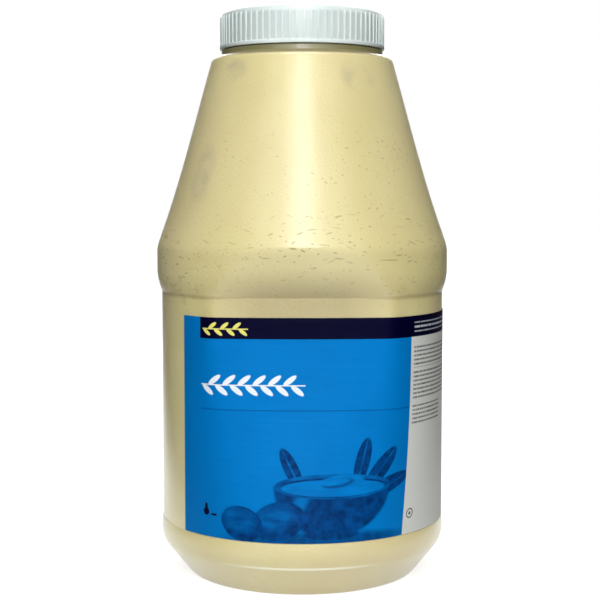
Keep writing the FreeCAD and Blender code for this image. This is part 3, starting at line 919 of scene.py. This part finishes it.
@dataclass
class JarBody:
    """The moulded jar, in millimetres: a turned outline with a sunken front and back."""

    foot_inner: float = 55.1
    foot_outer: float = 60.1
    push_up: float = 4.2
    push_up_radius: float = 47.8
    foot_round: tuple = (62.5, 1.7)
    heel: tuple = (74.8, 17.0)
    heel_under: tuple = (0.72, 1.0)
    heel_over: tuple = (0.42, 1.0)
    bumper_low: tuple = (76.6, 25.6)
    panel_foot: float = 30.0
    half_width: float = 75.8
    groove: float = 151.7
    recess: float = 12.6
    face_radius: float = 376.3
    corner_radius: float = 13.6
    flattening_rate: float = 0.75
    roll_top: float = 177.9
    roll_curve: float = 1.1
    bumper_half: float = 78.3
    bumper_start: float = 164.1
    bumper_end: float = 172.4
    bumper_round: float = 18.8
    cone_foot_slope: float = 0.37
    cone_top_slope: float = 0.285
    cone_top: tuple = (48.9, 273.2)
    shoulder_round: float = 4.8
    shoulder_turn: float = 84
    shelf_rise: float = 0.15
    shelf_width: float = 0.6
    collar_foot: float = 0.7
    edge: float = 0.3
    collar: float = 43.1
    collar_top: float = 279.7
    neck: float = 41.5
    rim: float = 297.9
    wall: float = 1.2
    turns: int = 240

    def share(self, height: float) -> float:
        """How deep the front is sunk at a height.

        Args:
            height: The height.

        Returns:
            Share of the full recess.
        """
        if height <= self.panel_foot or height >= self.roll_top:
            return 0.0
        if height <= self.groove:
            lift = (height - self.panel_foot) / (self.groove - self.panel_foot)
            return math.sin(math.pi / 2 * lift)
        return ((self.roll_top - height) / (self.roll_top - self.groove)) ** self.roll_curve

    def section(self, azimuth: float, half: float, share: float) -> float:
        """Radius of the body in one direction.

        Args:
            azimuth: Direction from +X, in radians.
            half: Half-width of the round sides.
            share: Share of the full recess.

        Returns:
            The radius in millimetres.
        """
        if share < 0.0005:
            return half
        blend = share ** self.flattening_rate
        bow = 1 / half
        face = 1 / (bow + (1 / self.face_radius - bow) * blend)
        corner = half + (self.corner_radius - half) * blend
        middle = half - self.recess * share - face
        reach = -middle
        along = ((face - corner) ** 2 - (half - corner) ** 2 + reach ** 2) / (2 * reach)
        corner_x = math.sqrt((face - corner) ** 2 - along ** 2)
        corner_y = middle + along
        folded = math.atan2(abs(math.sin(azimuth)), abs(math.cos(azimuth)))
        stretch = face / (face - corner)
        if folded <= math.atan2(corner_y, corner_x):
            return half
        if folded <= math.atan2(middle + (corner_y - middle) * stretch, corner_x * stretch):
            return self.ray(folded, corner_x, corner_y, corner)
        return self.ray(folded, 0, middle, face)

    @staticmethod
    def ray(azimuth: float, centre_x: float, centre_y: float, radius: float) -> float:
        """From the axis to a circle, in one direction.

        Args:
            azimuth: The direction.
            centre_x: Centre of the circle.
            centre_y: Centre of the circle.
            radius: Radius of the circle.

        Returns:
            The distance to its far side.
        """
        along = centre_x * math.cos(azimuth) + centre_y * math.sin(azimuth)
        return along + math.sqrt(along ** 2 - centre_x ** 2 - centre_y ** 2 + radius ** 2)

    def upper_half(self, height: float) -> float:
        """Half-width of the upper bumper and the cone.

        Args:
            height: A height above the groove.

        Returns:
            The half-width.
        """
        depth = self.bumper_half - self.half_width
        fall = self.bumper_start - self.groove
        low_round = (fall ** 2 + depth ** 2) / (2 * depth)
        if height < self.bumper_start:
            below = self.bumper_start - height
            return self.bumper_half - low_round + math.sqrt(low_round ** 2 - below ** 2)
        if height <= self.bumper_end:
            return self.bumper_half
        slope = math.atan(self.cone_foot_slope)
        foot = self.bumper_end + self.bumper_round * math.sin(slope)
        if height <= foot:
            above = height - self.bumper_end
            return self.bumper_half - self.bumper_round + math.sqrt(
                self.bumper_round ** 2 - above ** 2)
        start = self.bumper_half - self.bumper_round * (1 - math.cos(slope))
        end, top = self.cone_top
        span = top - foot
        part = (height - foot) / span
        rest = 1 - part
        return (start * (1 + 2 * part) * rest ** 2 - self.cone_foot_slope * span * part * rest ** 2
                + end * (3 - 2 * part) * part ** 2
                + self.cone_top_slope * span * rest * part ** 2)

    def outline(self) -> list[Vector]:
        """The outside, in millimetres.

        Returns:
            Corners from the middle of the base to the rim of the neck.
        """
        spots = [Vector((0, 0, self.push_up)), Vector((self.push_up_radius, 0, self.push_up)),
                 Vector((self.foot_inner, 0, 0)), Vector((self.foot_outer, 0, 0))]
        spots += bend(spots[-1], Vector((self.foot_round[0], 0, self.foot_round[1])), 0.25, 4)
        heel = Vector((self.heel[0], 0, self.heel[1]))
        low = heel - Vector((self.heel_under[0], 0, self.heel_under[1]))
        high = heel + Vector((self.heel_over[0], 0, self.heel_over[1]))
        spots += bend(spots[-1], low, 0.0, 10)
        spots += bend(low, high, 0.1, 4)
        widest = Vector((self.bumper_low[0], 0, self.bumper_low[1]))
        spots += bend(high, widest, 0.4, 8)
        spots += bend(widest, Vector((self.half_width + 0.25, 0, self.panel_foot)), 0.08, 4)
        spots.append(Vector((self.half_width, 0, self.panel_foot + 0.1)))
        spots += [Vector((self.half_width, 0, height))
                  for height in rise(self.panel_foot + 0.1, self.groove - 1.0, 4.0)]
        spots += [Vector((self.half_width, 0, height))
                  for height in rise(self.groove - 1.0, self.groove, 0.5)]
        spots += [Vector((self.upper_half(height), 0, height))
                  for height in rise(self.groove, self.roll_top, 1.0)]
        spots += [Vector((self.upper_half(height), 0, height))
                  for height in rise(self.roll_top, self.cone_top[1], 3.2)]
        slope = math.atan(self.cone_top_slope)
        centre = Vector((self.cone_top[0] - self.shoulder_round * math.cos(slope), 0,
                         self.cone_top[1] - self.shoulder_round * math.sin(slope)))
        spots += [centre + Vector((math.cos(turn), 0, math.sin(turn))) * self.shoulder_round
                  for turn in rise(slope, math.radians(self.shoulder_turn), math.radians(9))]
        shelf = spots[-1].z
        spots += [Vector((self.collar + self.shelf_width, 0, shelf + self.shelf_rise)),
                  Vector((self.collar, 0, shelf + self.collar_foot)),
                  Vector((self.collar, 0, self.collar_top - self.edge)),
                  Vector((self.collar - self.edge, 0, self.collar_top)),
                  Vector((self.neck, 0, self.collar_top)),
                  Vector((self.neck, 0, self.rim))]
        return spots

    def build(self, finish: FilledPlastic) -> bpy.types.Object:
        """Turns the outline, sinks front and back, and gives it its wall.

        Args:
            finish: Finish of the wall.

        Returns:
            The piece.
        """
        outline = [spot * MM for spot in self.outline()]
        piece = Bench.spun("jar_body", outline, self.turns, math.tau, True)
        for vertex in piece.data.vertices:
            height = vertex.co.z / MM
            share = self.share(height)
            if share > 0:
                radius = math.hypot(vertex.co.x, vertex.co.y)
                turn = math.atan2(vertex.co.y, vertex.co.x)
                half = radius / MM
                sunk = self.section(turn, half, share) / half
                vertex.co.x *= sunk
                vertex.co.y *= sunk
        Bench.apply(piece, "SOLIDIFY", {"thickness": self.wall * MM, "offset": -1.0})
        Bench.smooth(piece, 32)
        Bench.dress(piece, finish.material(), "jar", "jar")
        return piece


@dataclass
class ScrewCap:
    """The screw cap, in millimetres."""

    foot: float = 280.3
    top: float = 299.9
    skirt: float = 43.3
    bore: float = 42.0
    ceiling: float = 298.2
    rim_proud: float = 0.75
    rim_height: float = 2.0
    edge_round: float = 3.3
    disc: float = 34.4
    disc_depth: float = 0.5
    ribs: int = 75
    rib_proud: float = 0.65
    rib_width: float = 1.1
    rib_drop: float = 2.6
    rib_soft: float = 0.32
    rim_soft: float = 0.1
    turns: int = 225

    def outline(self) -> list[Vector]:
        """The cap's closed outline, in metres.

        Returns:
            Corners from the ceiling down the bore, round the rim and over the top.
        """
        soft = self.rim_proud / 2
        rim = self.skirt + self.rim_proud
        rim_top = self.foot + self.rim_height
        flat = [(0, self.ceiling), (self.bore, self.ceiling), (self.bore, self.foot),
                (rim - soft, self.foot), (rim - self.rim_soft, self.foot + self.rim_soft),
                (rim, self.foot + soft), (rim, rim_top - soft),
                (rim - self.rim_soft, rim_top - self.rim_soft), (rim - soft, rim_top),
                (self.skirt, rim_top + 0.15)]
        shoulder = self.top - self.edge_round
        middle = self.skirt - self.edge_round
        flat += [(middle + self.edge_round * math.cos(turn),
                  shoulder + self.edge_round * math.sin(turn))
                 for turn in [math.radians(degrees) for degrees in range(0, 91, 10)]]
        flat += [(self.disc + self.disc_depth, self.top), (self.disc, self.top - self.disc_depth),
                 (0, self.top - self.disc_depth)]
        return [Vector((radius, 0, height)) * MM for radius, height in flat]

    def rib(self) -> bpy.types.Object:
        """One upright rib at +X with soft edges.

        Returns:
            The rib.
        """
        Bench.clear()
        low = self.foot + self.rim_height / 2
        high = self.top - self.rib_drop
        depth = self.rib_proud * 2
        bpy.ops.mesh.primitive_cube_add(
            size=1, location=(self.skirt * MM, 0, (low + high) / 2 * MM),
            scale=(depth * MM, self.rib_width * MM, (high - low) * MM))
        rib = bpy.context.object
        bpy.ops.object.transform_apply(location=True, rotation=True, scale=True)
        Bench.apply(rib, "BEVEL", {"width": self.rib_soft * MM, "segments": 2,
                                   "limit_method": "ANGLE"})
        return rib

    def build(self, finish: CapPlastic) -> bpy.types.Object:
        """Turns the cap and sets its ribs round it.

        Args:
            finish: Finish of the cap.

        Returns:
            The piece.
        """
        cap = Bench.spun("screw_cap", self.outline(), self.turns, math.tau, True)
        Bench.clear()
        ribs = [self.rib()]
        for number in range(1, self.ribs):
            copy = ribs[0].copy()
            copy.data = ribs[0].data.copy()
            bpy.context.scene.collection.objects.link(copy)
            ribs.append(copy)
        for number, rib in enumerate(ribs):
            turn = math.tau * (number + 0.5) / self.ribs
            for vertex in rib.data.vertices:
                across, along = vertex.co.x, vertex.co.y
                vertex.co.x = across * math.cos(turn) - along * math.sin(turn)
                vertex.co.y = across * math.sin(turn) + along * math.cos(turn)
        Bench.clear()
        for rib in ribs:
            rib.select_set(True)
        cap.select_set(True)
        bpy.context.view_layer.objects.active = cap
        bpy.ops.object.join()
        Bench.smooth(cap, 35)
        Bench.dress(cap, finish.material(), "cap", "cap")
        return cap


@dataclass
class WrapLabel:
    """The wrap label, in millimetres, laid on the jar's panel."""

    low: float = 30.3
    high: float = 141.9
    gap: float = 0.15
    thickness: float = 0.25
    start_x: float = -60.3
    end_azimuth: float = 160.0
    rows: int = 40
    turns: int = 300

    def build(self, jar: JarBody, finish: PrintedFilm) -> bpy.types.Object:
        """Lays the label on the panel from its front left end round to its other end.

        Args:
            jar: The jar that carries it.
            finish: Finish of the label.

        Returns:
            The piece.
        """
        radius = jar.half_width + self.gap
        start = math.pi + math.acos(-self.start_x / radius)
        sweep = math.tau + math.radians(self.end_azimuth) - start
        outline = [Vector((radius * math.cos(start), radius * math.sin(start),
                           self.low + (self.high - self.low) * row / self.rows)) * MM
                   for row in range(self.rows + 1)]
        piece = Bench.spun("wrap_label", outline, self.turns, sweep, False)
        chart = piece.data.uv_layers.new(name="print")
        lengths = self.lengths(jar, start, sweep)
        travelled = []
        for vertex in piece.data.vertices:
            turn = math.atan2(vertex.co.y, vertex.co.x)
            row = round((vertex.co.z / MM - self.low) / (self.high - self.low) * self.rows)
            step = round(((turn - start + 0.001) % math.tau) / sweep * self.turns)
            travelled.append(lengths[row][min(step, self.turns)] * MM)
            share = jar.share(vertex.co.z / MM)
            sunk = (jar.section(turn, jar.half_width, share) + self.gap) / radius
            vertex.co.x *= sunk
            vertex.co.y *= sunk
        for loop in piece.data.loops:
            vertex = piece.data.vertices[loop.vertex_index]
            chart.data[loop.index].uv = (travelled[loop.vertex_index], vertex.co.z)
        self.face_out(piece)
        Bench.apply(piece, "SOLIDIFY", {"thickness": self.thickness * MM, "offset": 1.0})
        Bench.smooth(piece, 40)
        Bench.dress(piece, finish.material(), "label", "label")
        return piece

    def lengths(self, jar: JarBody, start: float, sweep: float) -> list[list[float]]:
        """Way round the panel from the label's start, in millimetres.

        Args:
            jar: The jar that carries it.
            start: Azimuth of the label's start, in radians.
            sweep: Angle from its start to its end.

        Returns:
            A list for each row, with the way to each step.
        """
        table = []
        for row in range(self.rows + 1):
            share = jar.share(self.low + (self.high - self.low) * row / self.rows)
            walked = [0.0]
            before = None
            for step in range(self.turns + 1):
                turn = start + sweep * step / self.turns
                radius = jar.section(turn, jar.half_width, share)
                spot = Vector((radius * math.cos(turn), radius * math.sin(turn)))
                if before is not None:
                    walked.append(walked[-1] + (spot - before).length)
                before = spot
            table.append(walked)
        return table

    @staticmethod
    def face_out(piece: bpy.types.Object) -> None:
        """Turns the label's faces away from the jar.

        Args:
            piece: The label.
        """
        face = piece.data.polygons[0]
        if face.normal.x * face.center.x + face.normal.y * face.center.y < 0:
            piece.data.flip_normals()


# ---- studio ----------------------------------------------------------------------------------
@dataclass(frozen=True)
class Lamp:
    """One soft area lamp, placed by azimuth and elevation from the jar."""

    name: str
    azimuth: float
    elevation: float
    distance: float
    size: tuple
    power: float

    def place(self, aim: Vector) -> None:
        """Adds the lamp.

        Args:
            aim: The spot that it points at.
        """
        turn = math.radians(self.azimuth)
        lift = math.radians(self.elevation)
        spot = aim + Vector((math.sin(turn) * math.cos(lift), -math.cos(turn) * math.cos(lift),
                             math.sin(lift))) * self.distance
        data = bpy.data.lights.new(self.name, "AREA")
        data.shape = "RECTANGLE"
        data.size, data.size_y = self.size
        data.energy = self.power
        lamp = bpy.data.objects.new(self.name, data)
        lamp.location = spot
        lamp.rotation_euler = (aim - spot).to_track_quat("-Z", "Y").to_euler()
        bpy.context.scene.collection.objects.link(lamp)


@dataclass
class Studio:
    """Pale floor, world, lamps, dark side cards and camera."""

    camera_distance: float = 10.05 * 75.8 * MM
    camera_height: float = 2.70 * 75.8 * MM
    camera_x: float = -0.015 * 75.8 * MM
    pitch: float = 4.4
    lens: float = 84.2
    aim_height: float = 150 * MM
    world_level: float = 0.14
    floor_level: float = 0.62
    floor_near: float = 0.8
    card_spot: tuple = (0.45, 1.0, 0.3)
    card_size: tuple = (0.8, 2.5, 1.0)
    card_turn: float = 12
    lamps: tuple = (Lamp("ceiling", 0, 68, 1.2, (0.6, 0.3), 5.4),
                    Lamp("key", 0, 35, 1.1, (0.26, 0.24), 2.7),
                    Lamp("fill", 0, 17, 1.1, (0.24, 0.2), 3.3),
                    Lamp("left", -28, 20, 1.2, (0.6, 0.8), 1.1),
                    Lamp("right", 28, 20, 1.2, (0.6, 0.8), 1.1),
                    Lamp("back", 180, 38, 1.2, (0.9, 0.7), 8.0))

    def build(self) -> None:
        """Sets the whole studio up."""
        self.floor()
        self.world()
        for lamp in self.lamps:
            lamp.place(Vector((0, 0, self.aim_height)))
        for side in (-1, 1):
            self.card(side)
        self.camera()

    def card(self, side: int) -> None:
        """A black card beside the jar, out of the picture, that darkens its edge.

        Args:
            side: -1 for the left and 1 for the right.
        """
        Bench.clear()
        across, back, height = self.card_spot
        bpy.ops.mesh.primitive_plane_add(size=1, location=(side * across, back, height))
        card = bpy.context.object
        card.name = "card_left" if side < 0 else "card_right"
        card.scale = self.card_size
        card.rotation_euler = (0, math.radians(90), math.radians(-side * self.card_turn))
        bpy.ops.object.transform_apply(location=True, rotation=True, scale=True)
        board = MaterialBoard(card.name)
        card.data.materials.append(board.finish({"Base Color": (0.01, 0.01, 0.01, 1),
                                                 "Roughness": 0.9}))
        card.visible_camera = False

    @staticmethod
    def grey(level: float) -> tuple[float, float, float, float]:
        """A grey of one level."""
        return level, level, level, 1.0

    def floor(self) -> None:
        """A wide pale floor that keeps the jar's shadow."""
        Bench.clear()
        bpy.ops.mesh.primitive_plane_add(size=12, location=(0, 0, 0))
        floor = bpy.context.object
        floor.name = "floor"
        board = MaterialBoard("floor_paint")
        right, back, _ = board.axes(board.place())
        reach = board.math(Operation.SQRT, right * right + back * back)
        white = board.blend(board.step(reach, 0.5, 0.6), self.grey(self.floor_near),
                            self.grey(1.0))
        floor.data.materials.append(board.finish({
            "Base Color": self.grey(self.floor_level), "Roughness": 0.9,
            "Emission Color": board.blend(board.seen(), self.grey(0.0), white),
            "Emission Strength": 1.0}))

    def world(self) -> None:
        """A dim world that is white where it is seen."""
        world = bpy.data.worlds.new("studio")
        bpy.context.scene.world = world
        board = Board(world)
        colour = board.blend(board.seen(), self.grey(self.world_level), self.grey(1.0))
        back = board.node("ShaderNodeBackground", {}, {"Color": colour})
        board.node("ShaderNodeOutputWorld", {}, {"Surface": back.outputs["Background"]})

    def camera(self) -> None:
        """The camera, looking slightly down at the front of the jar."""
        data = bpy.data.cameras.new("camera")
        data.lens = self.lens
        data.sensor_width = 36
        camera = bpy.data.objects.new("camera", data)
        camera.location = (self.camera_x, -self.camera_distance, self.camera_height)
        camera.rotation_euler = (math.radians(90 - self.pitch), 0, 0)
        bpy.context.scene.collection.objects.link(camera)
        bpy.context.scene.camera = camera


def dress_contents() -> None:
    """Gives the mayonnaise that the frame holds its own finish."""
    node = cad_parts["mayonnaise"]
    node.data.materials.clear()
    node.data.materials.append(Contents().material())
    log.info("mayonnaise: carried over from the frame")


def main() -> None:
    """Builds every piece in order and the studio round them."""
    logging.basicConfig(level=logging.INFO, format="%(name)s %(message)s")
    bpy.context.scene.view_settings.view_transform = "Standard"
    jar = JarBody()
    jar.build(FilledPlastic())
    ScrewCap().build(CapPlastic())
    WrapLabel().build(jar, PrintedFilm())
    dress_contents()
    Studio().build()


if __name__ == "__main__":
    main()
